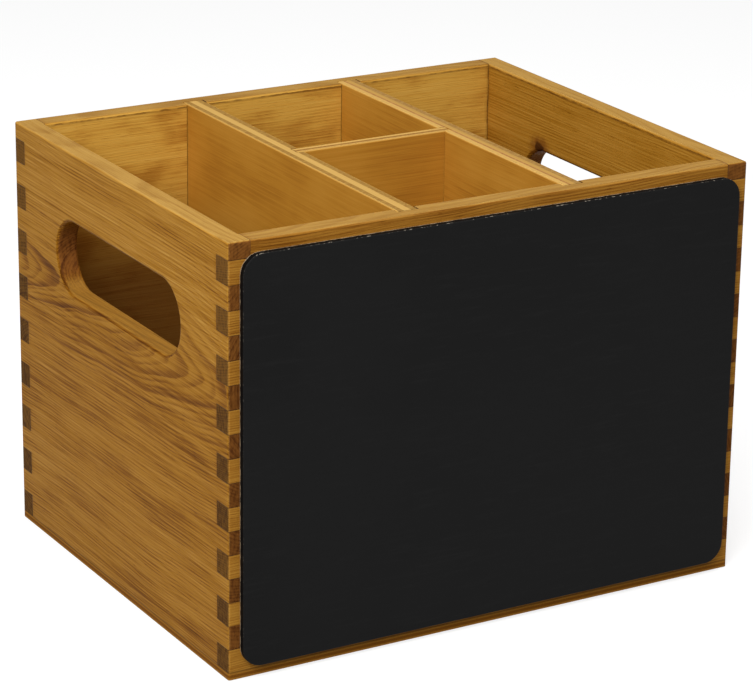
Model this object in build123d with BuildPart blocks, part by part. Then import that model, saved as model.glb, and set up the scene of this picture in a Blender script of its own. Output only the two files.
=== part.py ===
from build123d import *
import os

os.makedirs("parts", exist_ok=True)

# An open-topped caddy: four finger-jointed boards on a thin base sheet, lift-out
# dividers in grooves, and a chalkboard panel on the front.
# Frame: millimetres, +X to the right along the front, +Y to the back, +Z up.
# The origin is at the middle of the footprint, on the surface that the caddy stands on.

# ---- Driving dimensions -------------------------------------------------------------
BOX_WIDTH = 240.0
BOX_DEPTH = 194.0
BOX_HEIGHT = 180.0
BOARD = 9.5  # thickness of the four wall boards
BASE = 3.0  # thickness of the base sheet

FINGER_PITCH = 10.0
FINGER_SPACES = 18  # spaces down a corner; the one at the rim takes what is left over
GLUE_LINE = 0.12  # play between neighbouring fingers

CORNER_EASE = 0.9  # rounding of the four upright corners
RIM_EASE = 0.9  # rounding of the rim, outside and inside

SLOT_LENGTH = 112.0  # hand slot, over its round ends
SLOT_HEIGHT = 31.0
SLOT_BELOW_RIM = 30.0
SLOT_EASE = 1.8

DIVIDER = 9.0  # thickness of the two dividers that run from front to back
CROSS_DIVIDER = 5.5  # thickness of the divider between them
CROSS_BEHIND_MIDDLE = 2.5
DIVIDER_EASE = 0.6
GROOVE_DEPTH = 4.2  # upright grooves in the front and back walls
CROSS_GROOVE_DEPTH = 3.5  # upright grooves in the two long dividers
SIDE_PLAY = 0.35  # between a divider's face and its groove, each side
END_PLAY = 0.5  # between a divider's end and the bottom of its groove

CHALKBOARD_WIDTH = 230.0
CHALKBOARD_HEIGHT = 170.0
CHALKBOARD = 3.0  # thickness of the chalkboard panel
CHALKBOARD_CORNER = 8.5
CHALKBOARD_EASE = 0.4

PIN_RADIUS = 0.7
PIN_LENGTH = 16.0
PIN_HEAD_RADIUS = 1.3
PIN_HEAD = 0.6  # thickness of a pin's head
PIN_RECESS = 0.3  # the heads are set this far up into the base sheet
PIN_BITE = PIN_RECESS + PIN_LENGTH - BASE  # how far the pins go up into the walls
LONG_WALL_PINS = 4
LONG_WALL_PIN_PITCH = 56.0
END_PINS = 3
END_PIN_PITCH = 60.0

# ---- Places worked out from them ----------------------------------------------------
WALL_HEIGHT = BOX_HEIGHT - BASE
WALL_MIDDLE = BASE + WALL_HEIGHT / 2
MIDDLE_Y = CHALKBOARD / 2  # middle of the wooden box; the chalkboard stands in front of it
FRONT = MIDDLE_Y - BOX_DEPTH / 2
BACK = MIDDLE_Y + BOX_DEPTH / 2
INNER_WIDTH = BOX_WIDTH - 2 * BOARD
INNER_DEPTH = BOX_DEPTH - 2 * BOARD

# Heights of the lines between fingers, from the rim down. The end boards have the
# finger at the rim and every second one below it, and the long walls have the others.
FINGER_LINES = [BOX_HEIGHT] + [
    BASE + FINGER_PITCH * step for step in reversed(range(FINGER_SPACES))
]
SPACES = list(zip(FINGER_LINES[1:], FINGER_LINES[:-1]))
END_FINGERS = SPACES[0::2]
LONG_WALL_FINGERS = SPACES[1::2]

BAY = (INNER_WIDTH - 2 * DIVIDER) / 3  # the three bays are equally wide
DIVIDER_X = (BAY + DIVIDER) / 2
DIVIDER_LENGTH = INNER_DEPTH + 2 * (GROOVE_DEPTH - END_PLAY)
CROSS_Y = MIDDLE_Y + CROSS_BEHIND_MIDDLE
CROSS_LENGTH = BAY + 2 * (CROSS_GROOVE_DEPTH - END_PLAY)
SLOT_MIDDLE = BOX_HEIGHT - SLOT_BELOW_RIM - SLOT_HEIGHT / 2


# ---- Shapes that several pieces share -----------------------------------------------
def cut_notches(spaces, length, middle):
    """Cuts room for the neighbouring boards' fingers out of both ends of the sketch."""
    for low, high in spaces:
        height = (low + high) / 2
        reach = (length - BOARD) / 2
        with Locations((middle - reach, height), (middle + reach, height)):
            Rectangle(BOARD, high - low + GLUE_LINE, mode=Mode.SUBTRACT)


def long_wall_outline():
    """Front or back wall, seen from the front, with its fingers at both ends."""
    with Locations((0, WALL_MIDDLE)):
        Rectangle(BOX_WIDTH, WALL_HEIGHT)
    cut_notches(END_FINGERS, BOX_WIDTH, 0)


def end_outline():
    """Left or right end board, seen from the side, with its fingers and hand slot."""
    with Locations((MIDDLE_Y, WALL_MIDDLE)):
        Rectangle(BOX_DEPTH, WALL_HEIGHT)
    cut_notches(LONG_WALL_FINGERS, BOX_DEPTH, MIDDLE_Y)
    with Locations((MIDDLE_Y, SLOT_MIDDLE)):
        SlotOverall(SLOT_LENGTH, SLOT_HEIGHT, mode=Mode.SUBTRACT)


def groove_sections(inner_face):
    """Plan of the two divider grooves in the wall whose inner face is at that Y."""
    with Locations((-DIVIDER_X, inner_face), (DIVIDER_X, inner_face)):
        Rectangle(DIVIDER + 2 * SIDE_PLAY, 2 * GROOVE_DEPTH)


def slot_rims(board):
    """Both rims of an end board's hand slot."""
    half_length = SLOT_LENGTH / 2 + 1
    half_height = SLOT_HEIGHT / 2 + 1
    near_slot = board.edges().filter_by_position(
        Axis.Y, MIDDLE_Y - half_length, MIDDLE_Y + half_length
    )
    near_slot = near_slot.filter_by_position(
        Axis.Z, SLOT_MIDDLE - half_height, SLOT_MIDDLE + half_height
    )
    return near_slot.filter_by(Axis.X, reverse=True)


def long_wall_pin_places(wall_middle):
    """Where the pins go up into the front or back wall."""
    return [
        (spot.position.X, wall_middle)
        for spot in GridLocations(LONG_WALL_PIN_PITCH, 1, LONG_WALL_PINS, 1)
    ]


def end_pin_places(board_middle):
    """Where the pins go up into an end board."""
    return [
        (board_middle, MIDDLE_Y + spot.position.Y)
        for spot in GridLocations(1, END_PIN_PITCH, 1, END_PINS)
    ]


def pin_shanks(places):
    """Plan of the pin shanks, for the holes that they make and for the pins."""
    with Locations(*places):
        Circle(PIN_RADIUS)


FRONT_PINS = long_wall_pin_places(FRONT + BOARD / 2)
BACK_PINS = long_wall_pin_places(BACK - BOARD / 2)
LEFT_PINS = end_pin_places(-(BOX_WIDTH - BOARD) / 2)
RIGHT_PINS = end_pin_places((BOX_WIDTH - BOARD) / 2)
ALL_PINS = FRONT_PINS + BACK_PINS + LEFT_PINS + RIGHT_PINS

# What is alike in pairs: each end board's left face and pins, each long wall's front
# face, inner face and pins, and the side of the middle that each long divider is on.
END_BOARDS = {
    "left_end": (-BOX_WIDTH / 2, LEFT_PINS),
    "right_end": (BOX_WIDTH / 2 - BOARD, RIGHT_PINS),
}
LONG_WALLS = {
    "front_wall": (FRONT, FRONT + BOARD, FRONT_PINS),
    "back_wall": (BACK - BOARD, BACK - BOARD, BACK_PINS),
}
LONG_DIVIDERS = {"left_divider": -1, "right_divider": 1}


# The sanded outside: upright corners and the outer rim are rounded over every board.
with BuildPart() as outside:
    with BuildSketch(Plane.XY) as footprint:
        with Locations((0, MIDDLE_Y)):
            RectangleRounded(BOX_WIDTH, BOX_DEPTH, CORNER_EASE)
    extrude(amount=BOX_HEIGHT)
    fillet(outside.faces().sort_by(Axis.Z)[-1].edges(), RIM_EASE)

# The sanded inside: the hollow, which flares where the inner rim is rounded over.
with BuildPart() as hollow:
    with BuildSketch(Plane.XY.offset(BASE)) as hollow_plan:
        with Locations((0, MIDDLE_Y)):
            Rectangle(INNER_WIDTH, INNER_DEPTH)
    extrude(amount=WALL_HEIGHT)
    with BuildSketch(Plane.XY.offset(BOX_HEIGHT)) as above_rim:
        with Locations((0, MIDDLE_Y)):
            Rectangle(BOX_WIDTH, BOX_DEPTH)
    extrude(amount=BOARD)
    fillet(hollow.edges().filter_by(lambda edge: edge.is_interior), RIM_EASE)


# ---- Left and right end boards ------------------------------------------------------
for name, (left_face, pins) in END_BOARDS.items():
    with BuildPart() as end_board:
        with BuildSketch(Plane.YZ.offset(left_face)) as end_sketch:
            end_outline()
        extrude(amount=BOARD)
        add(outside.part, mode=Mode.INTERSECT)
        add(hollow.part, mode=Mode.SUBTRACT)
        fillet(slot_rims(end_board), SLOT_EASE)
        with BuildSketch(Plane.XY.offset(BASE)) as end_pin_holes:
            pin_shanks(pins)
        extrude(amount=PIN_BITE, mode=Mode.SUBTRACT)
    end_board.part.label = name
    export_step(end_board.part, f"parts/{name}.step")

# ---- Front and back walls -----------------------------------------------------------
for name, (front_face, inner_face, pins) in LONG_WALLS.items():
    with BuildPart() as long_wall:
        with BuildSketch(Plane.XZ.offset(-(front_face + BOARD))) as wall_sketch:
            long_wall_outline()
        extrude(amount=BOARD)
        add(outside.part, mode=Mode.INTERSECT)
        add(hollow.part, mode=Mode.SUBTRACT)
        with BuildSketch(Plane.XY.offset(BASE)) as grooves:
            groove_sections(inner_face)
        extrude(amount=WALL_HEIGHT, mode=Mode.SUBTRACT)
        with BuildSketch(Plane.XY.offset(BASE)) as wall_pin_holes:
            pin_shanks(pins)
        extrude(amount=PIN_BITE, mode=Mode.SUBTRACT)
    long_wall.part.label = name
    export_step(long_wall.part, f"parts/{name}.step")

# ---- Base sheet, under all four walls -----------------------------------------------
with BuildPart() as base_panel:
    with BuildSketch(Plane.XY) as base_plan:
        with Locations((0, MIDDLE_Y)):
            RectangleRounded(BOX_WIDTH, BOX_DEPTH, CORNER_EASE)
    extrude(amount=BASE)
    with BuildSketch(Plane.XY) as base_pin_holes:
        pin_shanks(ALL_PINS)
    extrude(amount=BASE, mode=Mode.SUBTRACT)
    with BuildSketch(Plane.XY) as base_head_holes:
        with Locations(*ALL_PINS):
            Circle(PIN_HEAD_RADIUS)
    extrude(amount=PIN_RECESS + PIN_HEAD, mode=Mode.SUBTRACT)
base_panel.part.label = "base_panel"
export_step(base_panel.part, "parts/base_panel.step")

# ---- Pins that hold the base sheet, driven up into the walls ------------------------
with BuildPart() as base_pins:
    with BuildSketch(Plane.XY.offset(PIN_RECESS)) as shank_plan:
        pin_shanks(ALL_PINS)
    extrude(amount=PIN_LENGTH)
    with BuildSketch(Plane.XY.offset(PIN_RECESS)) as head_plan:
        with Locations(*ALL_PINS):
            Circle(PIN_HEAD_RADIUS)
    extrude(amount=PIN_HEAD)
base_pins.part.label = "base_pins"
export_step(base_pins.part, "parts/base_pins.step")

# ---- Left and right dividers, each from the front wall's groove to the back wall's ---
for name, side in LONG_DIVIDERS.items():
    middle = side * DIVIDER_X
    face_to_cross_divider = side * (DIVIDER_X - DIVIDER / 2)
    with BuildPart() as long_divider:
        with BuildSketch(Plane.YZ.offset(middle - DIVIDER / 2)) as divider_side:
            with Locations((MIDDLE_Y, WALL_MIDDLE)):
                Rectangle(DIVIDER_LENGTH, WALL_HEIGHT)
        extrude(amount=DIVIDER)
        divider_top = long_divider.faces().sort_by(Axis.Z)[-1]
        fillet(divider_top.edges().filter_by(Axis.Y), DIVIDER_EASE)
        with BuildSketch(Plane.XY.offset(BASE)) as cross_groove:
            with Locations((face_to_cross_divider, CROSS_Y)):
                Rectangle(2 * CROSS_GROOVE_DEPTH, CROSS_DIVIDER + 2 * SIDE_PLAY)
        extrude(amount=WALL_HEIGHT, mode=Mode.SUBTRACT)
    long_divider.part.label = name
    export_step(long_divider.part, f"parts/{name}.step")

# ---- Cross divider, between the two -------------------------------------------------
with BuildPart() as cross_divider:
    with BuildSketch(Plane.XZ.offset(-CROSS_Y - CROSS_DIVIDER / 2)) as cross_side:
        with Locations((0, WALL_MIDDLE)):
            Rectangle(CROSS_LENGTH, WALL_HEIGHT)
    extrude(amount=CROSS_DIVIDER)
    cross_top = cross_divider.faces().sort_by(Axis.Z)[-1]
    fillet(cross_top.edges().filter_by(Axis.X), DIVIDER_EASE)
cross_divider.part.label = "cross_divider"
export_step(cross_divider.part, "parts/cross_divider.step")

# ---- Chalkboard panel, glued to the front wall --------------------------------------
with BuildPart() as chalkboard:
    with BuildSketch(Plane.XZ.offset(-FRONT)) as chalkboard_outline:
        with Locations((0, BOX_HEIGHT / 2)):
            RectangleRounded(CHALKBOARD_WIDTH, CHALKBOARD_HEIGHT, CHALKBOARD_CORNER)
    extrude(amount=CHALKBOARD)
    fillet(chalkboard.faces().sort_by(Axis.Y)[0].edges(), CHALKBOARD_EASE)
chalkboard.part.label = "chalkboard"
export_step(chalkboard.part, "parts/chalkboard.step")
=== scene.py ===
import math

import bpy
from mathutils import Matrix, Vector


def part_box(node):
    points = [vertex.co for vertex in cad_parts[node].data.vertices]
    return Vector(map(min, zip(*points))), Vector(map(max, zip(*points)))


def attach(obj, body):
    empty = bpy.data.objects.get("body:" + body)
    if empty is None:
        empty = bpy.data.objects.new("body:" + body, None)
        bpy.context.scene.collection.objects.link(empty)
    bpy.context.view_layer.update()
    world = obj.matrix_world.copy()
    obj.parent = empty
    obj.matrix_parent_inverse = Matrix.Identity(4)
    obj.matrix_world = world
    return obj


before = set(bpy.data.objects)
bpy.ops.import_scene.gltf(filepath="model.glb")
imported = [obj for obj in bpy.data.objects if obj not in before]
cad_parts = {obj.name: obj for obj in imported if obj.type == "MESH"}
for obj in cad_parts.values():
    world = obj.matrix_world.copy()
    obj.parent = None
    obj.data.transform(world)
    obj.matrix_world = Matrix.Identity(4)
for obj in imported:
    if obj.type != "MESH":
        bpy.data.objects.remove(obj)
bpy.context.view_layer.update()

# An open-topped stained pine caddy with finger-jointed corners, lift-out plywood dividers
# and a chalkboard panel on its front. Everything is in metres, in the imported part's frame:
# +X to the right along the front, +Y to the back, +Z up.
MM = 0.001

# ---- Sizes and places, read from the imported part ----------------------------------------
left_low, left_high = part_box("left_end")
front_low, front_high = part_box("front_wall")
back_low, back_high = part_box("back_wall")
board_low, board_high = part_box("chalkboard")

BOARD = left_high.x - left_low.x  # thickness of the wall boards
OUTER_X = -left_low.x
INNER_X = -left_high.x
FRONT = front_low.y
INNER_FRONT = front_high.y
INNER_BACK = back_low.y
BACK = back_high.y
MIDDLE_Y = (FRONT + BACK) / 2
BASE = left_low.z
RIM = left_high.z

# ---- The finger joints, as they are cut ---------------------------------------------------
FINGER_PITCH = 10 * MM
FINGER_LINES = 17  # between the lowest finger and the one at the rim
RIM_FINGER = RIM - BASE - FINGER_PITCH * FINGER_LINES  # height that is left at the rim
CORNER_EASE = 0.9 * MM
GLUE_FILM = 0.15 * MM
GLUE_PROUD = 0.03 * MM  # how far the squeezed-out glue stands off the wood


# ---- A small tool for objects ---------------------------------------------------------------
def new_object(name, data):
    """An object for a mesh, lamp or camera, put into the scene."""
    made = bpy.data.objects.new(name, data)
    bpy.context.scene.collection.objects.link(made)
    return made


# ---- Camera -------------------------------------------------------------------------------
PHOTO_WIDTH = 753
SENSOR = 36.0  # mm, across the longer side of the picture
FOCAL_PIXELS = 3254.97
CAMERA_AZIMUTH = math.radians(-30.413)
CAMERA_ELEVATION = math.radians(19.335)
CAMERA_ROLL = math.radians(0.801)
CAMERA_DISTANCE = 1.3856
CAMERA_TARGET = Vector((0.002009, 0.001366, 0.088998))


def make_camera():
    """The photograph's viewpoint: a long lens, from the front left and a little above."""
    data = bpy.data.cameras.new("camera")
    data.sensor_fit = "HORIZONTAL"
    data.sensor_width = SENSOR
    data.lens = SENSOR * FOCAL_PIXELS / PHOTO_WIDTH
    flat = math.cos(CAMERA_ELEVATION)
    backwards = Vector((
        math.sin(CAMERA_AZIMUTH) * flat,
        -math.cos(CAMERA_AZIMUTH) * flat,
        math.sin(CAMERA_ELEVATION),
    ))
    right = Vector((math.cos(CAMERA_AZIMUTH), math.sin(CAMERA_AZIMUTH), 0))
    up = backwards.cross(right)
    turned_right = right * math.cos(CAMERA_ROLL) + up * math.sin(CAMERA_ROLL)
    turned_up = up * math.cos(CAMERA_ROLL) - right * math.sin(CAMERA_ROLL)
    turn = Matrix((turned_right, turned_up, backwards)).transposed()
    place = Matrix.Translation(CAMERA_TARGET + backwards * CAMERA_DISTANCE)
    camera = new_object("camera", data)
    camera.matrix_world = place @ turn.to_4x4()
    bpy.context.scene.camera = camera


# ---- Small tools for node trees -------------------------------------------------------------
def srgb(red, green, blue):
    """A colour given as it looks, 0 to 255 a channel, as the linear colour that nodes take."""
    def linear(value):
        value /= 255
        return value / 12.92 if value <= 0.04045 else ((value + 0.055) / 1.055) ** 2.4
    return (linear(red), linear(green), linear(blue), 1)


class Tree:
    """A node tree that is written down step by step; each step gives back an output socket."""

    def __init__(self, tree):
        self.tree = tree

    def feed(self, socket, value):
        """A socket takes another node's output, or a plain value."""
        if isinstance(value, bpy.types.NodeSocket):
            self.tree.links.new(value, socket)
        else:
            socket.default_value = value

    def node(self, kind, inputs=(), **settings):
        made = self.tree.nodes.new(kind)
        for name, value in settings.items():
            setattr(made, name, value)
        for name, value in dict(inputs).items():
            self.feed(made.inputs[name], value)
        return made

    def group(self, group, **inputs):
        """A shared group; its inputs are named as in Python, with _ for each space."""
        is_geometry = group.bl_idname == "GeometryNodeTree"
        made = self.tree.nodes.new("GeometryNodeGroup" if is_geometry else "ShaderNodeGroup")
        made.node_tree = group
        for name, value in inputs.items():
            self.feed(made.inputs[name.replace("_", " ")], value)
        return made.outputs

    def math(self, operation, *values):
        made = self.tree.nodes.new("ShaderNodeMath")
        made.operation = operation
        for socket, value in zip(made.inputs, values):
            self.feed(socket, value)
        return made.outputs[0]

    def add(self, first, *others):
        for other in others:
            first = self.math("ADD", first, other)
        return first

    def minus(self, first, second):
        return self.math("SUBTRACT", first, second)

    def times(self, first, *others):
        for other in others:
            first = self.math("MULTIPLY", first, other)
        return first

    def over(self, first, second):
        return self.math("DIVIDE", first, second)

    def distance(self, first, second):
        """How far the point with these two coordinates lies from their origin."""
        squares = self.add(self.math("POWER", first, 2.0), self.math("POWER", second, 2.0))
        return self.math("SQRT", squares)

    def ramp(self, value, low, high, out_low=0.0, out_high=1.0, smooth=True):
        """Maps low..high to out_low..out_high and holds the ends."""
        made = self.node(
            "ShaderNodeMapRange",
            {"Value": value, "From Min": low, "From Max": high, "To Min": out_low, "To Max": out_high},
            interpolation_type="SMOOTHSTEP" if smooth else "LINEAR",
        )
        return made.outputs["Result"]

    def fall(self, value, low, high):
        """1 below low, 0 above high and smooth between them."""
        return self.ramp(value, low, high, 1.0, 0.0)

    def mix(self, factor, first, second):
        """The first colour at a factor of 0, the second at 1."""
        made = self.node("ShaderNodeMix", data_type="RGBA", clamp_factor=True)
        self.feed(made.inputs[0], factor)
        self.feed(made.inputs[6], first)
        self.feed(made.inputs[7], second)
        return made.outputs[2]

    def vector(self, x, y, z):
        return self.node("ShaderNodeCombineXYZ", {"X": x, "Y": y, "Z": z}).outputs[0]

    def facing(self, normal, axis):
        """How far the surface faces along an axis, from -1 to 1."""
        return self.node(
            "ShaderNodeVectorMath", {0: normal, 1: axis}, operation="DOT_PRODUCT"
        ).outputs["Value"]

    def noise(self, vector, scale=1.0, detail=2.0):
        made = self.node("ShaderNodeTexNoise", {"Vector": vector, "Scale": scale, "Detail": detail})
        return made.outputs["Fac"]

    def scatter(self, value):
        """An even random number, 0 to 1, for each whole value."""
        made = self.node("ShaderNodeTexWhiteNoise", {"W": value}, noise_dimensions="1D")
        return made.outputs["Value"]

    def join(self, *geometries):
        made = self.tree.nodes.new("GeometryNodeJoinGeometry")
        for geometry in geometries:
            self.tree.links.new(geometry, made.inputs[0])
        return made.outputs[0]


NUMBER = "NodeSocketFloat"
WHOLE_NUMBER = "NodeSocketInt"
COLOUR = "NodeSocketColor"
VECTOR = "NodeSocketVector"
MATERIAL = "NodeSocketMaterial"
GEOMETRY = "NodeSocketGeometry"


def blank_tree(owner):
    """The node tree of a material or a world, with nothing in it."""
    owner.use_nodes = True
    owner.node_tree.nodes.clear()
    return Tree(owner.node_tree)


def new_group(name, inputs, outputs, kind="ShaderNodeTree"):
    """A group with named sockets. Returns it, its tree, its inputs and its outputs."""
    group = bpy.data.node_groups.new(name, kind)
    for socket_name, (socket_kind, default) in inputs.items():
        socket = group.interface.new_socket(socket_name, in_out="INPUT", socket_type=socket_kind)
        if default is not None:
            socket.default_value = default
    for socket_name, socket_kind in outputs.items():
        group.interface.new_socket(socket_name, in_out="OUTPUT", socket_type=socket_kind)
    tree = Tree(group)
    given = tree.node("NodeGroupInput").outputs
    result = tree.node("NodeGroupOutput").inputs
    return group, tree, given, result


# ---- Shared effects --------------------------------------------------------------------------
def make_growth_rings():
    """The figure of a softwood board.

    The board was cut from a log whose middle runs along the board at Pith Depth and Pith
    Across, and drifts sideways by Lean. Sizes are in millimetres. Rings is 0 in pale early
    wood and 1 in a dark late line; Fibre is the streaks along the grain, about 0 with swings
    of up to 0.3; Blotch is how unevenly the board took the stain; Flecks are its open pores.
    """
    group, tree, given, result = new_group(
        "growth_rings",
        {
            "Along": (NUMBER, 0.0),
            "Depth": (NUMBER, 0.0),
            "Across": (NUMBER, 0.0),
            "Pith Depth": (NUMBER, 20.0),
            "Pith Across": (NUMBER, 0.0),
            "Lean": (NUMBER, 0.0),
            "Waviness": (NUMBER, 1.0),
            "Tightness": (NUMBER, 1.0),
            "Seed": (NUMBER, 0.0),
        },
        {"Rings": NUMBER, "Fibre": NUMBER, "Blotch": NUMBER, "Flecks": NUMBER},
    )

    def streaks(along, across, seed, detail=2.0):
        """Noise whose grains are about that many millimetres long and wide."""
        place = tree.vector(
            tree.over(given["Along"], along),
            tree.over(given["Depth"], across),
            tree.math("MULTIPLY_ADD", given["Across"], 1 / across, tree.add(given["Seed"], seed)),
        )
        return tree.noise(place, detail=detail)

    def swing(noise, size):
        """Noise turned into a shift to either side."""
        return tree.times(tree.minus(noise, 0.5), size)

    slow_bend = tree.times(swing(streaks(150, 60, 3.1), 16), given["Waviness"])
    drift = tree.times(given["Along"], given["Lean"])
    depth = tree.add(tree.minus(given["Depth"], given["Pith Depth"]), drift)
    across = tree.add(tree.minus(given["Across"], given["Pith Across"]), slow_bend)
    straight = tree.distance(depth, across)

    # The lines wander near the pith, and run straighter and fainter away from it.
    calm = tree.times(tree.ramp(straight, 20, 50, 1.0, 0.25), given["Waviness"])
    wander = tree.add(swing(streaks(60, 18, 7.7), 3.4), swing(streaks(22, 4, 11.3), 0.9))
    radius = tree.math("MAXIMUM", tree.add(straight, tree.times(wander, calm)), 0.5)

    # At a tightness of 1, bold lines lie about 4 mm apart at 20 mm from the pith and 3 mm
    # apart at 50 mm. Each is darkest at its outer side, ends sharply there, and has its own
    # strength.
    bold_count = tree.times(tree.math("POWER", radius, 1.3), given["Tightness"], 0.0783)
    part_grown = tree.math("FRACT", bold_count)
    late = tree.ramp(part_grown, 0.42, 0.93)
    late = tree.times(late, late, tree.fall(part_grown, 0.95, 1.0))
    strength = tree.math("MULTIPLY_ADD", tree.scatter(tree.math("FLOOR", bold_count)), 0.6, 0.4)
    patchy = tree.ramp(streaks(90, 9, 51.0), 0.35, 0.6, 0.6, 1.0)
    fading = tree.ramp(straight, 24, 55, 1.0, 0.4)
    bold = tree.times(late, strength, patchy, fading)

    # Between them are fine lines, three to every 4 mm.
    fine_count = tree.times(radius, given["Tightness"], 0.75)
    part_grown = tree.math("FRACT", fine_count)
    fine_line = tree.times(tree.ramp(part_grown, 0.3, 0.8), tree.fall(part_grown, 0.85, 1.0))
    fine_line = tree.times(fine_line, tree.ramp(streaks(70, 6, 57.0), 0.35, 0.65, 0.25, 0.55))
    tree.feed(result["Rings"], tree.math("MAXIMUM", bold, fine_line))

    fine = swing(streaks(30, 0.45, 17.0, detail=3.0), 0.8)
    coarse = swing(streaks(200, 1.3, 23.0), 0.3)
    broad = swing(streaks(240, 9.0, 29.0), 0.26)
    tree.feed(result["Fibre"], tree.add(fine, coarse, broad))
    tree.feed(result["Blotch"], tree.ramp(streaks(34, 13, 31.0, detail=3.0), 0.42, 0.72))
    tree.feed(result["Flecks"], tree.ramp(streaks(5, 0.35, 41.0, detail=1.0), 0.6, 0.76))
    return group


def make_stained_wood():
    """The stain's colour for a tone, from 0 in the darkest line to 1 in the palest streak."""
    names = ("Darkest", "Dark", "Middle", "Pale", "Palest")
    inputs = {"Tone": (NUMBER, 0.5)}
    inputs.update({name: (COLOUR, (1, 1, 1, 1)) for name in names})
    group, tree, given, result = new_group("stained_wood", inputs, {"Colour": COLOUR})
    colour = given[names[0]]
    step = 1 / (len(names) - 1)
    for number, name in enumerate(names[1:]):
        share = tree.ramp(given["Tone"], number * step, (number + 1) * step, smooth=False)
        colour = tree.mix(share, colour, given[name])
    tree.feed(result["Colour"], colour)
    return group


def make_cut_faces():
    """Which way the surface faces, against a board's grain and its inner face.

    End Grain is 1 where the fibres are cut across. Rounded Edge is 1 on the sanded rounding
    between a broad face and an edge. Edge Face is 1 off the two broad faces. Inside is 1 on
    the broad face that looks along Inward.
    """
    group, tree, given, result = new_group(
        "cut_faces",
        {"Normal": (VECTOR, (0, 0, 1)), "Grain": (VECTOR, (1, 0, 0)), "Inward": (VECTOR, (0, 1, 0))},
        {"End Grain": NUMBER, "Rounded Edge": NUMBER, "Edge Face": NUMBER, "Inside": NUMBER},
    )
    inward = tree.facing(given["Normal"], given["Inward"])
    with_grain = tree.math("ABSOLUTE", tree.facing(given["Normal"], given["Grain"]))
    broad = tree.math("ABSOLUTE", inward)
    rounding = tree.times(tree.ramp(broad, 0.08, 0.3), tree.fall(broad, 0.92, 0.99))
    tree.feed(result["End Grain"], tree.ramp(with_grain, 0.5, 0.93))
    tree.feed(result["Rounded Edge"], rounding)
    tree.feed(result["Edge Face"], tree.fall(broad, 0.6, 0.8))
    tree.feed(result["Inside"], tree.ramp(inward, 0.7, 0.95))
    return group


def make_joint_lines():
    """Dark lines round a board's fingers, along the base sheet and in the inner corners.

    Reach is how far the point lies past the inner end of the fingers, in millimetres, and
    Height is above the boards' lower edge. Lowest Is Other is 0 for the board that has the
    lowest finger and 0.5 for the board that meets it there. Beside is the stain that the
    neighbour's end grain drew along its joint. Inner Dark Lines is where the inner face is
    darker, under the inner edge of the rim and in the inner corners.
    """
    group, tree, given, result = new_group(
        "joint_lines",
        {
            "Reach": (NUMBER, 0.0),
            "Height": (NUMBER, 0.0),
            "Lowest Is Other": (NUMBER, 0.0),
            "Inside": (NUMBER, 0.0),
            "Uneven": (NUMBER, 0.5),
        },
        {"Line": NUMBER, "Beside": NUMBER, "Inner Dark Lines": NUMBER},
    )
    line_width = 0.3
    beside_width = 2.5
    pitch = FINGER_PITCH / MM
    rim_height = (RIM - BASE) / MM
    up = tree.over(given["Height"], pitch)
    to_line = tree.times(tree.math("PINGPONG", up, 0.5), pitch)
    in_fingers = tree.math("GREATER_THAN", given["Reach"], -0.2)
    under_rim = tree.math("LESS_THAN", given["Height"], rim_height - 2)
    level_line = tree.times(in_fingers, under_rim, tree.fall(to_line, 0.0, line_width))

    # Upright lines stand where the other board's fingers end against this one.
    turn = tree.math("FRACT", tree.math("MULTIPLY_ADD", up, 0.5, given["Lowest Is Other"]))
    others_finger = tree.math("GREATER_THAN", turn, 0.5)
    to_upright = tree.math("ABSOLUTE", given["Reach"])
    upright_line = tree.times(others_finger, tree.fall(to_upright, 0.0, line_width))
    at_base = tree.fall(tree.math("ABSOLUTE", given["Height"]), 0.1, 0.6)
    line = tree.math("MAXIMUM", tree.math("MAXIMUM", level_line, upright_line), at_base)
    tree.feed(result["Line"], line)
    tree.feed(result["Beside"], tree.times(others_finger, tree.fall(to_upright, 0.0, beside_width)))

    rough_edge = tree.math("MULTIPLY_ADD", given["Uneven"], 1.2, -0.6)
    from_rim = tree.add(tree.minus(rim_height, given["Height"]), rough_edge)
    under_edge = tree.times(tree.ramp(from_rim, 0.7, 1.1), tree.fall(from_rim, 1.3, 2.1))
    in_corner = tree.fall(tree.add(to_upright, rough_edge), 0.2, 0.9)
    inner_dark_lines = tree.math("MAXIMUM", under_edge, in_corner)
    tree.feed(result["Inner Dark Lines"], tree.times(inner_dark_lines, given["Inside"]))
    return group


def make_shade_spot():
    """A small round dark spot of painted shade, its place and size in millimetres: a dark core in a brown
    halo.
    """
    group, tree, given, result = new_group(
        "shade_spot",
        {
            "Along": (NUMBER, 0.0),
            "Across": (NUMBER, 0.0),
            "Knot Along": (NUMBER, 0.0),
            "Knot Across": (NUMBER, 0.0),
            "Size": (NUMBER, 6.0),
        },
        {"Core": NUMBER, "Halo": NUMBER},
    )
    along = tree.times(tree.minus(given["Along"], given["Knot Along"]), 0.7)
    across = tree.minus(given["Across"], given["Knot Across"])
    ragged = tree.noise(tree.vector(given["Along"], given["Across"], 0.0), scale=0.35, detail=3.0)
    radius = tree.over(tree.distance(along, across), given["Size"])
    radius = tree.math("MULTIPLY_ADD", ragged, 0.9, tree.add(radius, -0.45))
    tree.feed(result["Core"], tree.fall(radius, 0.35, 0.6))
    tree.feed(result["Halo"], tree.fall(radius, 0.5, 1.4))
    return group


GROWTH_RINGS = make_growth_rings()
STAINED_WOOD = make_stained_wood()
CUT_FACES = make_cut_faces()
JOINT_LINES = make_joint_lines()
SHADE_SPOT = make_shade_spot()


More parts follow.
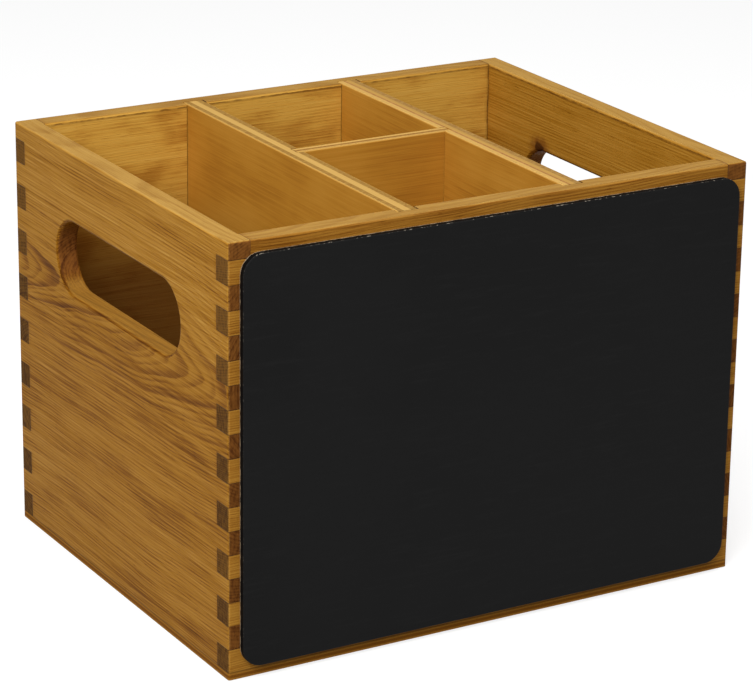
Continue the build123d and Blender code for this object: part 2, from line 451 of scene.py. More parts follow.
# ---- Colours and finishes -----------------------------------------------------------------------
# Each stain goes from its darkest late line to its palest streak.
HONEY = (srgb(84, 44, 3), srgb(124, 75, 8), srgb(164, 112, 30), srgb(183, 132, 50), srgb(206, 162, 80))
UMBER = (srgb(90, 48, 10), srgb(126, 76, 18), srgb(160, 108, 36), srgb(180, 129, 50), srgb(200, 154, 74))
AMBER = (srgb(106, 56, 14), srgb(150, 92, 26), srgb(184, 127, 42), srgb(200, 144, 57), srgb(214, 165, 80))
GOLD = (srgb(130, 80, 22), srgb(174, 120, 42), srgb(205, 155, 64), srgb(214, 168, 80), srgb(226, 184, 104))
SANDED_RIM = (srgb(148, 108, 46), srgb(172, 134, 66))
RED_END = (srgb(122, 74, 30), srgb(80, 42, 15))
OLIVE_END = (srgb(112, 76, 30), srgb(66, 40, 16))
# Paler wood on rounded edges: wear, and a painted highlight.
WORN_AND_HIGHLIT_WOOD = srgb(190, 150, 80)
# Darker colour under the inner edge of the rim and in the inner corners.
RIM_AND_CORNER_DARK = srgb(92, 52, 16)
# Painted shade low down on the inner faces, deep in the box.
PAINTED_INNER_SHADE = srgb(80, 38, 14)
GLUE_BROWN = srgb(58, 32, 12)
# A spot of painted shade on the rim of the hand slot's back end: its core and its halo.
SHADE_SPOT_CORE = srgb(58, 28, 12)
SHADE_SPOT_HALO = srgb(112, 62, 22)

LACQUER_SHINE = 0.05

X_AXIS = (1, 0, 0)
Y_AXIS = (0, 1, 0)
Z_AXIS = (0, 0, 1)
MINUS_X = (-1, 0, 0)
MINUS_Y = (0, -1, 0)


def new_material(name):
    """An empty material: its tree, its Principled shader, the surface's X, Y and Z in
    millimetres and its normal, all in the part's frame."""
    material = bpy.data.materials.new(name)
    tree = blank_tree(material)
    shader = tree.node("ShaderNodeBsdfPrincipled")
    tree.node("ShaderNodeOutputMaterial", {"Surface": shader.outputs["BSDF"]})
    coordinates = tree.node("ShaderNodeTexCoord")
    scaled = tree.node("ShaderNodeVectorMath", {0: coordinates.outputs["Object"]}, operation="SCALE")
    scaled.inputs["Scale"].default_value = 1 / MM
    place = tree.node("ShaderNodeSeparateXYZ", {"Vector": scaled.outputs[0]}).outputs
    return material, tree, shader, place, coordinates.outputs["Normal"]


def coat(tree, shader, colour, rough, height, depth, shine=LACQUER_SHINE):
    """Joins a finish to the shader. Its surface rises by height times depth millimetres."""
    tree.feed(shader.inputs["Base Color"], colour)
    tree.feed(shader.inputs["Roughness"], rough)
    tree.feed(shader.inputs["Specular IOR Level"], shine)
    relief = tree.node("ShaderNodeBump", {"Height": height, "Distance": depth * MM, "Strength": 1.0})
    tree.feed(shader.inputs["Normal"], relief.outputs["Normal"])


def stained(tree, tone, stain):
    """One of the stains at a tone, 0 for its darkest line and 1 for its palest streak."""
    darkest, dark, middle, pale, palest = stain
    return tree.group(
        STAINED_WOOD, Tone=tone, Darkest=darkest, Dark=dark, Middle=middle, Pale=pale, Palest=palest,
    )["Colour"]


# Places on the boards, in millimetres. Each pair of heights is where a change up the board
# begins and where it is complete.
SLOT_BOTTOM = 116  # the hand slot with its rounded rims
SLOT_TOP = 153
SLOT_HALF_LENGTH = 59
PALER_HEIGHTS = (95, 150)  # a board's faces get paler
PALER_END_HEIGHTS = (115, 150)  # its fingers' end grain gets paler
INNER_SHADE_HEIGHTS = (96, 156)  # the painted shade on its inner face dies away
DIVIDER_SHADE_HEIGHTS = (70, 150)  # the same on a divider
RIM_HEIGHTS = (160, 161)  # what faces up is the rim

BLOTCH_DEPTH = 0.1
INNER_BLOTCH_DEPTH = 0.3  # where a board has an inner stain
INNER_FIGURE_DEPTH = 0.14
SHADE_SPOT_SIZE = 5.5


def around_slot(tree, height, from_middle):
    """1 within the hand slot and its rounded rims, seen from the end."""
    return tree.times(
        tree.fall(height, SLOT_TOP - 0.5, SLOT_TOP),
        tree.ramp(height, SLOT_BOTTOM, SLOT_BOTTOM + 0.5),
        tree.fall(from_middle, SLOT_HALF_LENGTH - 1, SLOT_HALF_LENGTH),
    )


def draw_shade_spot(tree, colour, along, across, shade_spot):
    """A dark spot of painted shade drawn over a colour, at its place along and across the board."""
    spot = tree.group(
        SHADE_SPOT, Along=along, Across=across, Knot_Along=shade_spot[0], Knot_Across=shade_spot[1], Size=SHADE_SPOT_SIZE,
    )
    colour = tree.mix(tree.times(spot["Halo"], 0.75), colour, SHADE_SPOT_HALO)
    return tree.mix(tree.times(spot["Core"], 0.85), colour, SHADE_SPOT_CORE)


def finger_ends(tree, place, rings, end_wood):
    """End grain: each finger has its own shade, with the board's rings and fine saw streaks."""
    x, y, z = place
    finger = tree.math("FLOOR", tree.over(tree.minus(z, BASE / MM), FINGER_PITCH / MM))
    sawn = tree.vector(tree.times(x, 0.9), tree.times(y, 0.9), tree.times(z, 0.35))
    pores = tree.noise(sawn, detail=3.0)
    share = tree.add(tree.times(rings, 0.9), tree.ramp(pores, 0.35, 0.7, -0.15, 0.5))
    share = tree.add(share, tree.ramp(z, *PALER_END_HEIGHTS, 0.05, -0.3))
    return tree.mix(tree.math("MULTIPLY_ADD", tree.scatter(finger), 0.4, share), *end_wood)


def pine_board(name, grain, inward, stain, end_wood, pith_depth, pith_across, lean, seed,
               tightness=1.0, figure_depth=0.42, fibre_depth=1.0, paler_above=0.0, shade_spot=None,
               inner_stain=None):
    """Stained, sanded pine with a thin satin lacquer, for one wall board.

    grain and inward are the board's axes; the pith's place and that of the spot of painted shade
    are in the part's frame, in millimetres. The two depths are how strongly the rings and the fibres
    show, and paler_above is how much paler the board gets up its height. A board with an
    inner_stain took it unevenly on its inner face, where its figure is faint.
    """
    material, tree, shader, place, normal = new_material(name)
    x, y, z = place
    is_end = grain == Y_AXIS
    along, depth = (y, x) if is_end else (x, y)
    figure = tree.group(
        GROWTH_RINGS, Along=along, Depth=depth, Across=z, Pith_Depth=pith_depth,
        Pith_Across=pith_across, Lean=lean, Seed=seed, Tightness=tightness,
    )
    cut = tree.group(CUT_FACES, Normal=normal, Grain=grain, Inward=inward)
    middle = MIDDLE_Y / MM if is_end else 0.0
    inner_half = (INNER_BACK - INNER_FRONT) / 2 / MM if is_end else INNER_X / MM
    from_middle = tree.math("ABSOLUTE", tree.minus(along, middle))
    uneven = tree.noise(tree.vector(x, y, z), scale=0.22, detail=3.0)
    joint = tree.group(
        JOINT_LINES, Reach=tree.minus(from_middle, inner_half),
        Height=tree.minus(z, BASE / MM), Lowest_Is_Other=0.5 if is_end else 0.0,
        Inside=cut["Inside"], Uneven=uneven,
    )

    blotch_depth = BLOTCH_DEPTH
    if inner_stain:
        figure_depth = tree.ramp(cut["Inside"], 0, 1, figure_depth, INNER_FIGURE_DEPTH)
        blotch_depth = tree.ramp(cut["Inside"], 0, 1, blotch_depth, INNER_BLOTCH_DEPTH)
    tone = tree.math("MULTIPLY_ADD", figure["Fibre"], fibre_depth, 0.55)
    tone = tree.minus(tone, tree.times(figure["Rings"], figure_depth))
    tone = tree.minus(tone, tree.times(figure["Blotch"], blotch_depth))
    tone = tree.add(tone, tree.ramp(z, *PALER_HEIGHTS, 0.0, paler_above))
    tone = tree.minus(tone, tree.times(figure["Flecks"], 0.14))
    facing_up = tree.ramp(tree.facing(normal, Z_AXIS), 0.6, 0.9)
    near_slot = 0.0
    if is_end:
        # The routed faces of the hand slot are painted darker, its floor the least: partly a darker stain,
        # partly painted shade in the slot.
        near_slot = around_slot(tree, z, from_middle)
        slot_darkening = tree.math("MULTIPLY_ADD", facing_up, -0.14, 0.26)
        routed = tree.math("MAXIMUM", cut["Edge Face"], cut["Rounded Edge"])
        tone = tree.minus(tone, tree.times(routed, near_slot, slot_darkening))
    else:
        on_fingers = tree.math("GREATER_THAN", from_middle, INNER_X / MM)
        tone = tree.add(tone, tree.times(on_fingers, 0.1))
    colour = stained(tree, tone, stain)
    if inner_stain:
        colour = tree.mix(cut["Inside"], colour, stained(tree, tone, inner_stain))
    # Inside, the boards are painted darker and redder lower down: painted shade deep in the box.
    inner_shade = tree.times(cut["Inside"], tree.fall(z, *INNER_SHADE_HEIGHTS), 0.8)
    colour = tree.mix(inner_shade, colour, PAINTED_INNER_SHADE)
    # A dark spot of painted shade on the rim where the hand slot's back end begins.
    if shade_spot:
        colour = draw_shade_spot(tree, colour, along, z, shade_spot)

    # The rim was sanded back to paler wood, and the hand slot's floor nearly so.
    sanded = tree.mix(tree.ramp(tone, 0.25, 0.75), SANDED_RIM[0], SANDED_RIM[1])
    at_rim = tree.times(facing_up, tree.ramp(z, *RIM_HEIGHTS))
    colour = tree.mix(tree.times(at_rim, 0.85), colour, sanded)
    if is_end:
        colour = tree.mix(tree.times(near_slot, routed, facing_up, 0.6), colour, SANDED_RIM[0])

    end_colour = finger_ends(tree, place, figure["Rings"], end_wood)
    colour = tree.mix(tree.times(cut["End Grain"], 0.95), colour, end_colour)
    # Rounded edges are painted paler: partly wear, partly a painted highlight.
    worn_and_highlight = tree.times(cut["Rounded Edge"], tree.ramp(figure["Fibre"], -0.15, 0.15, 0.0, 0.22))
    worn_and_highlight = tree.times(worn_and_highlight, tree.minus(1.0, near_slot))
    colour = tree.mix(worn_and_highlight, colour, WORN_AND_HIGHLIT_WOOD)
    colour = tree.mix(tree.times(joint["Beside"], 0.3), colour, stain[1])
    # The inner faces are darker under the rim's inner edge and in the inner corners.
    inner_dark_lines = tree.times(joint["Inner Dark Lines"], tree.ramp(uneven, 0.35, 0.6, 0.25, 0.65))
    colour = tree.mix(inner_dark_lines, colour, RIM_AND_CORNER_DARK)
    colour = tree.mix(tree.times(joint["Line"], 0.55), colour, GLUE_BROWN)

    rough = tree.ramp(figure["Fibre"], -0.2, 0.2, 0.58, 0.46)
    rough = tree.math("MULTIPLY_ADD", cut["End Grain"], 0.2, rough)
    height = tree.math("MULTIPLY_ADD", figure["Rings"], 0.4, figure["Fibre"])
    height = tree.minus(height, tree.times(figure["Flecks"], 0.3))
    height = tree.minus(height, tree.times(joint["Line"], 0.8))
    coat(tree, shader, colour, rough, height, 0.1)
    return material


# The plies of each divider, in order along +X or +Y: share of its thickness, colour, and
# whether the ply's fibres are cut across at the top edge.
OUTER_PLY = srgb(180, 140, 74)
BRIGHT_PLY = srgb(197, 158, 88)
OLIVE_PLY = srgb(154, 121, 60)
PINK_PLY = srgb(172, 122, 74)
GREY_PLY = srgb(160, 127, 72)
BROWN_PLY = srgb(148, 106, 52)
LEFT_PLIES = (
    (0.07, OUTER_PLY, False), (0.25, OLIVE_PLY, True), (0.35, BRIGHT_PLY, False),
    (0.27, OLIVE_PLY, True), (0.06, OUTER_PLY, False),
)
RIGHT_PLIES = (
    (0.29, BRIGHT_PLY, False), (0.11, PINK_PLY, True), (0.26, OUTER_PLY, False), (0.34, GREY_PLY, True),
)
CROSS_PLIES = ((0.3, OUTER_PLY, False), (0.28, BROWN_PLY, True), (0.42, BRIGHT_PLY, False))


def ply_stripes(tree, depth, along, low, high, plies):
    """The plies' colours across an edge, and 1 where a ply's fibres are cut across."""
    blur = 0.012  # of the thickness, to either side of each line between plies
    wobble = tree.noise(tree.vector(tree.over(along, 18), 0.0, 0.0), detail=3.0)
    share = tree.over(tree.minus(depth, low), high - low)
    share = tree.math("MULTIPLY_ADD", wobble, 0.05, tree.add(share, -0.025))
    colour = plies[0][1]
    cut_across = 1.0 if plies[0][2] else 0.0
    line = 0.0
    for (before, _, _), (_, ply_colour, is_cut) in zip(plies, plies[1:]):
        line += before
        past = tree.ramp(share, line - blur, line + blur)
        colour = tree.mix(past, colour, ply_colour)
        step = tree.minus(1.0 if is_cut else 0.0, cut_across)
        cut_across = tree.math("MULTIPLY_ADD", past, step, cut_across)
    return colour, cut_across


def ply_divider(name, node, grain, inward, stain, plies, pith_depth, pith_across, lean, seed):
    """A stained plywood divider: a faint figure on its faces, its plies along its edges.

    The face that looks along inward is painted darker lower down: painted shade deep in the box.
    """
    material, tree, shader, place, normal = new_material(name)
    x, y, z = place
    along, depth = (y, x) if grain == Y_AXIS else (x, y)
    thin_way = 0 if grain == Y_AXIS else 1
    low, high = [corner[thin_way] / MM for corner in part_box(node)]
    figure = tree.group(
        GROWTH_RINGS, Along=along, Depth=depth, Across=z, Pith_Depth=pith_depth,
        Pith_Across=pith_across, Lean=lean, Seed=seed, Tightness=0.5,
    )
    cut = tree.group(CUT_FACES, Normal=normal, Grain=grain, Inward=inward)
    tone = tree.math("MULTIPLY_ADD", figure["Fibre"], 0.38, 0.54)
    tone = tree.minus(tone, tree.times(figure["Rings"], 0.1))
    patches = tree.vector(tree.times(along, 0.6), depth, tree.add(z, seed))
    mottle = tree.noise(patches, scale=0.032, detail=3.0)
    tone = tree.add(tone, tree.ramp(mottle, 0.35, 0.65, -0.09, 0.07))
    colour = stained(tree, tone, stain)
    # Its inner face is painted darker lower down: painted shade deep in the box.
    inner_shade = tree.times(cut["Inside"], tree.ramp(z, *DIVIDER_SHADE_HEIGHTS, 0.6, 0.0))
    colour = tree.mix(inner_shade, colour, PAINTED_INNER_SHADE)

    # Saw marks comb the plies that are cut across, and olive streaks run along all of them.
    edge_colour, cut_across = ply_stripes(tree, depth, along, low, high, plies)
    teeth = tree.vector(tree.over(along, 0.45), tree.over(depth, 2.5), 0.0)
    combed = tree.times(tree.ramp(tree.noise(teeth, detail=1.0), 0.42, 0.6), cut_across)
    drawn = tree.ramp(figure["Fibre"], -0.2, 0.2, 0.35, 0.0)
    edge_colour = tree.mix(drawn, edge_colour, OLIVE_PLY)
    edge_colour = tree.mix(tree.times(combed, 0.45), edge_colour, stain[0])
    colour = tree.mix(tree.times(cut["Edge Face"], 0.9), colour, edge_colour)
    # Rounded edges are painted paler: partly wear, partly a painted highlight.
    colour = tree.mix(tree.times(cut["Rounded Edge"], 0.35), colour, WORN_AND_HIGHLIT_WOOD)

    rough = tree.ramp(figure["Fibre"], -0.2, 0.2, 0.6, 0.5)
    rough = tree.math("MULTIPLY_ADD", cut["Edge Face"], 0.15, rough)
    height = tree.minus(tree.times(figure["Fibre"], 0.5), tree.times(combed, cut["Edge Face"], 0.7))
    coat(tree, shader, colour, rough, height, 0.1)
    return material


def base_sheet():
    """Thin stained plywood: three plies along its edge, wide rotary-cut figure underneath."""
    material, tree, shader, place, normal = new_material("base_sheet_ply")
    x, y, z = place
    figure = tree.group(
        GROWTH_RINGS, Along=x, Depth=z, Across=y, Pith_Depth=70.0, Pith_Across=20.0, Lean=0.1,
        Seed=71.0, Waviness=1.8, Tightness=0.45,
    )
    tone = tree.math("MULTIPLY_ADD", figure["Fibre"], 0.7, 0.5)
    tone = tree.minus(tone, tree.times(figure["Rings"], 0.4))
    tone = tree.minus(tone, tree.times(figure["Blotch"], 0.2))
    colour = stained(tree, tone, HONEY)
    flat = tree.math("ABSOLUTE", tree.facing(normal, Z_AXIS))
    edge = tree.fall(flat, 0.3, 0.7)
    # Round the edge the middle ply is darker, and the top is stained by the glue above it.
    middle_ply = tree.times(tree.ramp(z, 0.75, 0.95), tree.fall(z, 1.95, 2.15))
    fuzz = tree.noise(tree.vector(x, y, tree.over(z, 0.4)), scale=1.6, detail=2.0)
    edge_colour = tree.mix(middle_ply, UMBER[2], UMBER[1])
    edge_colour = tree.mix(tree.ramp(fuzz, 0.45, 0.7, 0.0, 0.3), edge_colour, OLIVE_END[1])
    colour = tree.mix(edge, colour, edge_colour)
    colour = tree.mix(tree.times(tree.ramp(z, 2.5, 2.95), edge, 0.4), colour, GLUE_BROWN)
    rough = tree.ramp(figure["Fibre"], -0.2, 0.2, 0.75, 0.62)
    height = tree.minus(figure["Fibre"], tree.times(fuzz, edge))
    coat(tree, shader, colour, rough, height, 0.08)
    return material


BLACKEST_PAINT = srgb(14, 14, 14)
RUBBED_PAINT = srgb(28, 28, 28)
# Near black for the panel's edges: black paint deepened by painted shade.
EDGE_PAINT_AND_SHADE = srgb(1, 1, 1)
RAW_CORE = srgb(166, 146, 118)
CHIP = srgb(200, 190, 172)
BRIGHT_STEEL = srgb(176, 174, 170)
DULL_STEEL = srgb(120, 116, 110)
PALE_GLUE = srgb(104, 64, 26)


def chalkboard_black():
    """Rolled matt paint on a thin panel, its raw core showing at the back of its edge."""
    material, tree, shader, place, normal = new_material("chalkboard_black")
    x, y, z = place
    spot = tree.vector(x, y, z)
    cloud = tree.noise(spot, scale=0.018, detail=3.0)
    rubbed = tree.noise(tree.vector(tree.over(x, 14), y, tree.over(z, 1.2)), detail=3.0)
    stipple = tree.noise(spot, scale=1.5, detail=2.0)
    paint = tree.mix(tree.ramp(cloud, 0.35, 0.68, 0.1, 0.6), BLACKEST_PAINT, RUBBED_PAINT)
    paint = tree.mix(tree.ramp(rubbed, 0.52, 0.75, 0.0, 0.4), paint, RUBBED_PAINT)
    paint = tree.mix(tree.ramp(stipple, 0.5, 0.7, 0.0, 0.3), paint, BLACKEST_PAINT)
    side = tree.fall(tree.math("ABSOLUTE", tree.facing(normal, Y_AXIS)), 0.2, 0.4)
    from_back = tree.minus(board_high.y / MM, y)
    ragged = tree.noise(spot, scale=0.45, detail=3.0)
    core_width = tree.ramp(ragged, 0.35, 0.65, 0.2, 0.6)
    core = tree.times(side, tree.math("LESS_THAN", from_back, core_width), 0.7)
    from_front = tree.minus(y, board_low.y / MM)
    at_front_edge = tree.times(tree.fall(from_front, 0.3, 0.8), tree.ramp(from_front, 0.02, 0.1))
    facing_up = tree.ramp(tree.facing(normal, Z_AXIS), 0.7, 0.9)
    flaking = tree.ramp(tree.noise(spot, scale=0.9, detail=3.0), 0.56, 0.66)
    chipped = tree.times(flaking, at_front_edge, tree.math("MULTIPLY_ADD", facing_up, 0.35, 0.05))
    # The panel's edges are painted near black, darker than its face: black paint deepened by painted
    # shade.
    paint = tree.mix(side, paint, EDGE_PAINT_AND_SHADE)
    colour = tree.mix(core, paint, RAW_CORE)
    colour = tree.mix(chipped, colour, CHIP)
    rough = tree.ramp(cloud, 0.3, 0.7, 0.66, 0.8)
    height = tree.math("MULTIPLY_ADD", rubbed, 0.5, stipple)
    height = tree.minus(height, tree.times(chipped, 2.0))
    coat(tree, shader, colour, rough, height, 0.05, shine=0.12)
    return material


def pin_steel():
    """Plain steel pin heads, turned bright and a little dulled."""
    material, tree, shader, (x, y, z), _ = new_material("pin_steel")
    dull = tree.noise(tree.vector(x, y, z), scale=1.4, detail=3.0)
    drawn = tree.noise(tree.vector(tree.times(x, 9.0), y, z), detail=1.0)
    colour = tree.mix(tree.ramp(dull, 0.4, 0.7), BRIGHT_STEEL, DULL_STEEL)
    shader.inputs["Metallic"].default_value = 1.0
    coat(tree, shader, colour, tree.ramp(dull, 0.3, 0.7, 0.28, 0.5), drawn, 0.01, shine=0.5)
    return material


def glue_brown():
    """Hardened wood glue, darkened by the stain."""
    material, tree, shader, place, _ = new_material("stained_glue")
    lumps = tree.noise(tree.vector(*place), scale=0.8, detail=3.0)
    colour = tree.mix(tree.ramp(lumps, 0.4, 0.65), GLUE_BROWN, PALE_GLUE)
    coat(tree, shader, colour, tree.ramp(lumps, 0.3, 0.7, 0.45, 0.7), lumps, 0.02, shine=0.2)
    return material


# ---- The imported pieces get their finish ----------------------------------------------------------
def dress(node, material):
    """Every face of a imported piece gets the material."""
    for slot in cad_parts[node].material_slots:
        slot.material = material


def dress_all():
    """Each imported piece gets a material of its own."""
    dress("left_end", pine_board(
        "left_end_pine", Y_AXIS, X_AXIS, HONEY, RED_END, pith_depth=-97.8, pith_across=120.7,
        lean=0.1, seed=1.0, paler_above=0.12,
    ))
    # The right end's spot of painted shade sits where its hand slot's back end begins.
    dress("right_end", pine_board(
        "right_end_pine", Y_AXIS, MINUS_X, HONEY, RED_END, pith_depth=150, pith_across=60,
        lean=0.01, seed=9.0, figure_depth=0.36, fibre_depth=0.8, paler_above=0.1, shade_spot=(45, 151),
    ))
    dress("front_wall", pine_board(
        "front_wall_pine", X_AXIS, Y_AXIS, UMBER, OLIVE_END, pith_depth=-60, pith_across=300,
        lean=0.0, seed=17.0, tightness=1.3, figure_depth=0.4, fibre_depth=0.8,
    ))
    dress("back_wall", pine_board(
        "back_wall_pine", X_AXIS, MINUS_Y, HONEY, OLIVE_END, pith_depth=75, pith_across=70,
        lean=0.03, seed=25.0, fibre_depth=0.7, inner_stain=GOLD,
    ))
    dress("left_divider", ply_divider(
        "left_divider_ply", "left_divider", Y_AXIS, X_AXIS, AMBER, LEFT_PLIES, pith_depth=40,
        pith_across=40, lean=0.02, seed=33.0,
    ))
    dress("right_divider", ply_divider(
        "right_divider_ply", "right_divider", Y_AXIS, X_AXIS, AMBER, RIGHT_PLIES, pith_depth=110,
        pith_across=80, lean=0.03, seed=41.0,
    ))
    dress("cross_divider", ply_divider(
        "cross_divider_ply", "cross_divider", X_AXIS, Y_AXIS, AMBER, CROSS_PLIES, pith_depth=60,
        pith_across=60, lean=0.02, seed=55.0,
    ))
    dress("base_panel", base_sheet())
    dress("base_pins", pin_steel())
    dress("chalkboard", chalkboard_black())


# ---- Glue lines in the finger joints ---------------------------------------------------------------
def make_plates_group():
    """Geometry nodes: a rounded plate, repeated up each of the four corners."""
    sizes = ("Corner Spacing X", "Corner Spacing Y", "Middle Y", "Lowest", "Step", "Length",
             "Width", "Thickness", "Rounding")
    inputs = {size: (NUMBER, 0.0) for size in sizes}
    inputs.update({"Count": (WHOLE_NUMBER, 1), "Turn": (VECTOR, (0, 0, 0))})
    group, tree, given, result = new_group(
        "corner_plates", inputs, {"Plates": GEOMETRY}, "GeometryNodeTree",
    )

    outline = tree.node(
        "GeometryNodeCurvePrimitiveQuadrilateral", {"Width": given["Length"], "Height": given["Width"]}
    )
    rounded = tree.node(
        "GeometryNodeFilletCurve",
        {"Curve": outline.outputs[0], "Radius": given["Rounding"], "Count": 3, "Limit Radius": True},
        mode="POLY",
    )
    face = tree.node("GeometryNodeFillCurve", {"Curve": rounded.outputs[0]}, mode="NGONS").outputs[0]
    raised = tree.node(
        "GeometryNodeExtrudeMesh",
        {"Mesh": face, "Offset Scale": given["Thickness"], "Individual": False}, mode="FACES",
    ).outputs["Mesh"]
    underside = tree.node("GeometryNodeFlipFaces", {"Mesh": face}).outputs[0]
    closed = tree.node(
        "GeometryNodeMergeByDistance", {"Geometry": tree.join(raised, underside), "Distance": 0.001 * MM}
    ).outputs[0]
    half_down = tree.vector(0, 0, tree.times(given["Thickness"], -0.5))
    plate = tree.node("GeometryNodeTransform", {"Geometry": closed, "Translation": half_down}).outputs[0]

    corners = tree.node(
        "GeometryNodeMeshGrid",
        {"Size X": given["Corner Spacing X"], "Size Y": given["Corner Spacing Y"],
         "Vertices X": 2, "Vertices Y": 2},
    ).outputs["Mesh"]
    lifted = tree.node(
        "GeometryNodeSetPosition",
        {"Geometry": corners, "Offset": tree.vector(0, given["Middle Y"], given["Lowest"])},
    ).outputs[0]
    up = tree.vector(0, 0, given["Step"])
    column = tree.node("GeometryNodeMeshLine", {"Count": given["Count"], "Offset": up}).outputs[0]
    columns = tree.node("GeometryNodeInstanceOnPoints", {"Points": lifted, "Instance": column})
    places = tree.node("GeometryNodeRealizeInstances", {"Geometry": columns.outputs[0]}).outputs[0]
    plates = tree.node(
        "GeometryNodeInstanceOnPoints", {"Points": places, "Instance": plate, "Rotation": given["Turn"]}
    ).outputs[0]
    tree.feed(result["Plates"], plates)
    return group


def make_glue_tree():
    """Geometry nodes: every glue film in the finger joints, from the caddy's own sizes."""
    plates_group = make_plates_group()
    sizes = ("Board", "Outer Width", "Outer Depth", "Middle Y", "Base", "Pitch", "Rim Finger",
             "Film", "Proud", "Corner Ease")
    inputs = {size: (NUMBER, 0.0) for size in sizes}
    inputs.update({"Lines": (WHOLE_NUMBER, 1), "Glue": (MATERIAL, None)})
    group, tree, given, result = new_group(
        "glue_films", inputs, {"Films": GEOMETRY}, "GeometryNodeTree",
    )

    across = tree.add(given["Board"], tree.times(given["Proud"], 2.0))
    between_x = tree.minus(given["Outer Width"], given["Board"])
    between_y = tree.minus(given["Outer Depth"], given["Board"])
    inner_x = tree.minus(between_x, given["Board"])
    inner_y = tree.minus(between_y, given["Board"])
    two_fingers = tree.times(given["Pitch"], 2.0)
    half_finger = tree.times(given["Pitch"], 0.5)
    first_line = tree.add(given["Base"], given["Pitch"])
    walls_low = tree.add(given["Base"], half_finger)
    ends_low = tree.add(first_line, half_finger)
    last_line = tree.math("MULTIPLY_ADD", given["Pitch"], given["Lines"], given["Base"])
    rim_middle = tree.math("MULTIPLY_ADD", given["Rim Finger"], 0.5, last_line)
    rim_height = tree.add(given["Rim Finger"], given["Proud"])
    half_lines = tree.math("FLOOR", tree.times(given["Lines"], 0.5))
    across_x = (0, math.radians(90), 0)
    across_y = (math.radians(90), 0, 0)
    flat = (0, 0, 0)
    sharp = 0.02 * MM

    def films(spacing_x, spacing_y, lowest, step, count, length, width, rounding, turn):
        """One kind of film at all four corners."""
        return tree.group(
            plates_group, Corner_Spacing_X=spacing_x, Corner_Spacing_Y=spacing_y,
            Middle_Y=given["Middle Y"], Lowest=lowest, Step=step, Count=count, Length=length,
            Width=width, Thickness=given["Film"], Rounding=rounding, Turn=turn,
        )["Plates"]

    between_fingers = films(
        between_x, between_y, first_line, given["Pitch"], given["Lines"], across, across,
        given["Corner Ease"], flat,
    )
    at_wall_ends = films(
        inner_x, between_y, ends_low, two_fingers, half_lines, given["Pitch"], across, sharp, across_x,
    )
    at_rim = films(
        inner_x, between_y, rim_middle, 0.0, 1, rim_height, across, given["Corner Ease"], across_x,
    )
    at_end_boards = films(
        between_x, inner_y, walls_low, two_fingers, tree.add(half_lines, 1.0), across,
        given["Pitch"], sharp, across_y,
    )
    joined = tree.join(between_fingers, at_wall_ends, at_rim, at_end_boards)
    whole = tree.node("GeometryNodeRealizeInstances", {"Geometry": joined}).outputs[0]
    coloured = tree.node("GeometryNodeSetMaterial", {"Geometry": whole, "Material": given["Glue"]})
    tree.feed(result["Films"], coloured.outputs[0])
    return group


def make_glue_lines():
    """The thin dark lines of glue between the fingers, standing just proud of the boards."""
    glue = glue_brown()
    sizes = {
        "Board": BOARD, "Outer Width": 2 * OUTER_X, "Outer Depth": BACK - FRONT, "Middle Y": MIDDLE_Y,
        "Base": BASE, "Pitch": FINGER_PITCH, "Rim Finger": RIM_FINGER, "Film": GLUE_FILM,
        "Proud": GLUE_PROUD, "Corner Ease": CORNER_EASE, "Lines": FINGER_LINES, "Glue": glue,
    }
    maker = new_object("glue_maker", bpy.data.meshes.new("glue_maker"))
    modifier = maker.modifiers.new("glue_films", "NODES")
    modifier.node_group = make_glue_tree()
    for item in modifier.node_group.interface.items_tree:
        if item.in_out == "INPUT":
            modifier[item.identifier] = sizes[item.name]
    maker.update_tag()
    graph = bpy.context.evaluated_depsgraph_get()
    mesh = bpy.data.meshes.new_from_object(maker.evaluated_get(graph), depsgraph=graph)
    bpy.data.objects.remove(maker)
    mesh.name = "glue_lines"
    piece = new_object("glue_lines", mesh)
    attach(piece, "box")


# ---- Floor and light ---------------------------------------------------------------------------
FLOOR_HALF = 6.0
FLOOR_TOP = -0.2 * MM  # just clear of the underside
FLOOR_DIFFUSE = 0.45  # what the camera sees of the floor's own light and shadow
FLOOR_GLOW = 0.62  # what is added for the camera, so that the floor shows white
FLOOR_BOUNCE = 0.3  # how pale the floor is for the light that it throws back
WORLD_LIGHT = 0.4


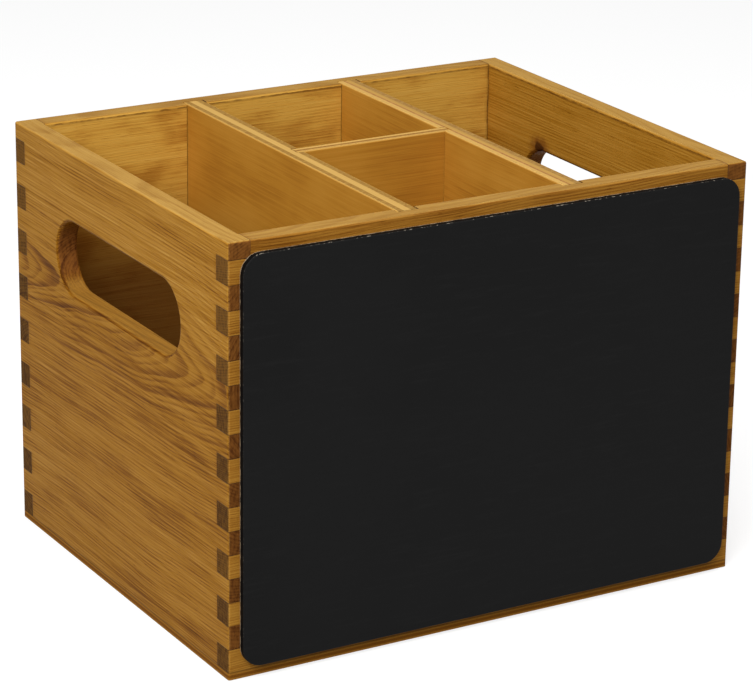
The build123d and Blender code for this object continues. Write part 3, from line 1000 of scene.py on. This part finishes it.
def make_floor():
    """A white floor that still takes the caddy's shadow, and is clear when seen from below."""
    mesh = bpy.data.meshes.new("floor")
    sides = ((-1, -1), (1, -1), (1, 1), (-1, 1))
    corners = [(x * FLOOR_HALF, y * FLOOR_HALF, FLOOR_TOP) for x, y in sides]
    mesh.from_pydata(corners, [], [(0, 1, 2, 3)])
    floor = new_object("floor", mesh)
    material = bpy.data.materials.new("white_floor")
    tree = blank_tree(material)
    ray = tree.node("ShaderNodeLightPath").outputs
    seen = tree.math("MAXIMUM", ray["Is Camera Ray"], ray["Is Glossy Ray"])
    seen = tree.math("MAXIMUM", seen, ray["Is Transmission Ray"])
    own = tree.ramp(seen, 0, 1, FLOOR_BOUNCE, FLOOR_DIFFUSE, smooth=False)
    diffuse = tree.node("ShaderNodeBsdfDiffuse", {"Color": own})
    glow = tree.node("ShaderNodeEmission", {"Strength": tree.times(seen, FLOOR_GLOW)})
    sum_of_both = tree.node("ShaderNodeAddShader", {0: diffuse.outputs[0], 1: glow.outputs[0]})
    clear = tree.node("ShaderNodeBsdfTransparent")
    from_below = tree.node("ShaderNodeNewGeometry").outputs["Backfacing"]
    surface = tree.node(
        "ShaderNodeMixShader", {0: from_below, 1: sum_of_both.outputs[0], 2: clear.outputs[0]}
    )
    tree.node("ShaderNodeOutputMaterial", {"Surface": surface.outputs[0]})
    mesh.materials.append(material)


def make_world():
    """Even white light from all round, and plain white behind the caddy."""
    world = bpy.data.worlds.new("studio")
    bpy.context.scene.world = world
    tree = blank_tree(world)
    ray = tree.node("ShaderNodeLightPath").outputs
    seen = tree.math("MAXIMUM", ray["Is Camera Ray"], ray["Is Transmission Ray"])
    strength = tree.ramp(seen, 0, 1, WORLD_LIGHT, 1.0, smooth=False)
    light = tree.node("ShaderNodeBackground", {"Color": (1, 1, 1, 1), "Strength": strength})
    tree.node("ShaderNodeOutputWorld", {"Surface": light.outputs[0]})


def make_lamp(name, place, aim, size, watts):
    """A square soft box at a place, turned to face aim."""
    data = bpy.data.lights.new(name, "AREA")
    data.shape = "SQUARE"
    data.size = size
    data.energy = watts
    lamp = new_object(name, data)
    lamp.location = place
    lamp.rotation_mode = "QUATERNION"
    lamp.rotation_quaternion = (Vector(aim) - Vector(place)).to_track_quat("-Z", "Y")


def make_light():
    """A soft box from the front left, and a weaker one overhead."""
    middle = (0, 0, 0.1)
    make_lamp("key_box", (-0.95, -0.85, 1.15), middle, size=1.0, watts=23)
    make_lamp("overhead_box", (0.05, -0.1, 1.5), middle, size=0.9, watts=10)


make_camera()
make_world()
make_light()
make_floor()
dress_all()
make_glue_lines()

bpy.context.scene.view_settings.view_transform = "Standard"
